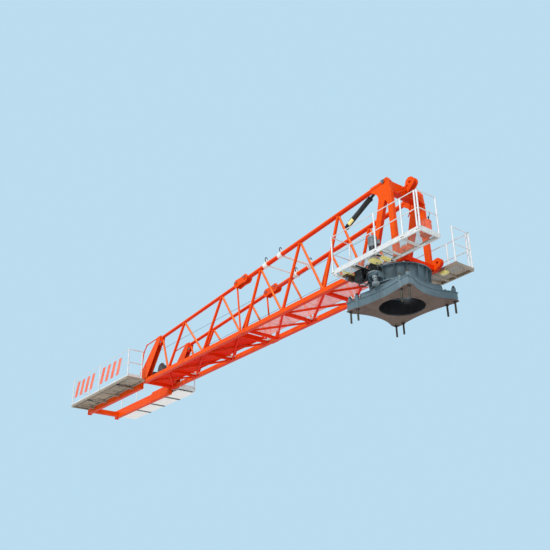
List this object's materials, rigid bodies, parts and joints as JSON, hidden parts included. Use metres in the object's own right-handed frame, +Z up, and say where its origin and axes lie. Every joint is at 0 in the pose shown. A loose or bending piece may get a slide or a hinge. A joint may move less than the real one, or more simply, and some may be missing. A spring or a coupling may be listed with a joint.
{
  "type": "tower crane slewing head with counter-jib",
  "caption": "Upper works of a flat-top tower crane: slewing base and ring, turntable, turret, lattice counter-jib with winch, ballast rails and railed platforms.",
  "frame": {"origin": "slewing axis, on the flat underside of the slewing base where the mast seats", "axes": "+Z up along the slewing axis, +X towards the jib end, counter-jib along -X, +Y left and -Y right"},
  "size_m": [20.02, 3.1, 4.0949],
  "materials": {
    "base_paint": "satin",
    "base_underside": "satin",
    "oiled_brown": "satin",
    "yellow_paint": "satin",
    "joist_grey": "satin",
    "bolt_steel": "rough",
    "ring_steel": "satin",
    "motor_paint": "satin",
    "orange_paint": "gloss",
    "red_paint": "gloss",
    "walkway_mesh": "satin",
    "pin_steel": "satin",
    "white_paint": "satin",
    "wire_rope": "rough",
    "galvanised": "satin",
    "grating": "rough",
    "sign_paint": "gloss",
    "cylinder_black": "gloss",
    "drum_orange": "gloss",
    "winch_steel": "satin",
    "winch_black": "satin"
  },
  "bodies": {
    "base": {"base_frame": "base_paint", "base_bottom_plate": "base_underside", "mast_bolts": "bolt_steel", "slew_ring_fixed": "ring_steel"},
    "upper": {"slew_ring_moving": "ring_steel", "turntable": "base_paint", "turntable_hatch_plate": "ring_steel", "slew_gearmotor": "motor_paint", "turret_side_right": "orange_paint", "turret_side_left": "orange_paint", "chord_pins": "pin_steel", "turret_top_beam": "orange_paint", "turret_jib_lug": "orange_paint", "turret_foot_right": "orange_paint", "turret_foot_left": "orange_paint", "turret_cross_beams": "red_paint", "inner_truss_right": "orange_paint", "inner_truss_left": "orange_paint", "inner_floor_beams": "red_paint", "inner_walkway": "walkway_mesh", "outer_truss_right": "orange_paint", "outer_truss_left": "orange_paint", "outer_floor_beams": "red_paint", "outer_deck": "red_paint", "end_post_right": "orange_paint", "end_post_left": "orange_paint", "end_cross_tube": "orange_paint", "end_guard_pipes": "orange_paint", "splice_right": "orange_paint", "splice_left": "orange_paint", "lifting_spreader_front": "white_paint", "lifting_spreader_rear": "white_paint", "lifelines": "wire_rope", "ballast_rail_right": "orange_paint", "ballast_rail_left": "orange_paint", "ballast_end_beam": "orange_paint", "rear_floor_frame_right": "galvanised", "rear_floor_frame_left": "galvanised", "rear_grating_right": "grating", "rear_grating_left": "white_paint", "rear_floor_joists": "joist_grey", "rear_railing_right": "galvanised", "rear_railing_left": "galvanised", "rear_sign_right": "sign_paint", "slew_floor_frame_right": "galvanised", "slew_floor_frame_left": "galvanised", "slew_grating_right": "grating", "slew_grating_left": "grating", "slew_railing_right": "galvanised", "slew_railing_left": "galvanised", "control_cabinet": "winch_black", "pump_unit": "oiled_brown", "platform_clamps": "yellow_paint", "erection_cylinder": "cylinder_black", "grease_drum": "drum_orange", "winch_frame": "orange_paint", "winch_motor": "winch_black", "winch_brake": "winch_black"},
    "drum": {"winch_drum": "winch_steel"}
  },
  "joints": [
    {"name": "slew", "type": "hinge", "parent": "base", "child": "upper", "pos_m": [0, 0, 0], "axis": [0, 0, 1], "continuous": true},
    {"name": "winch_drum_spin", "type": "hinge", "parent": "upper", "child": "drum", "pos_m": [-12.35, -0.125, 1.5523], "axis": [0, 1, 0], "continuous": true}
  ]
}
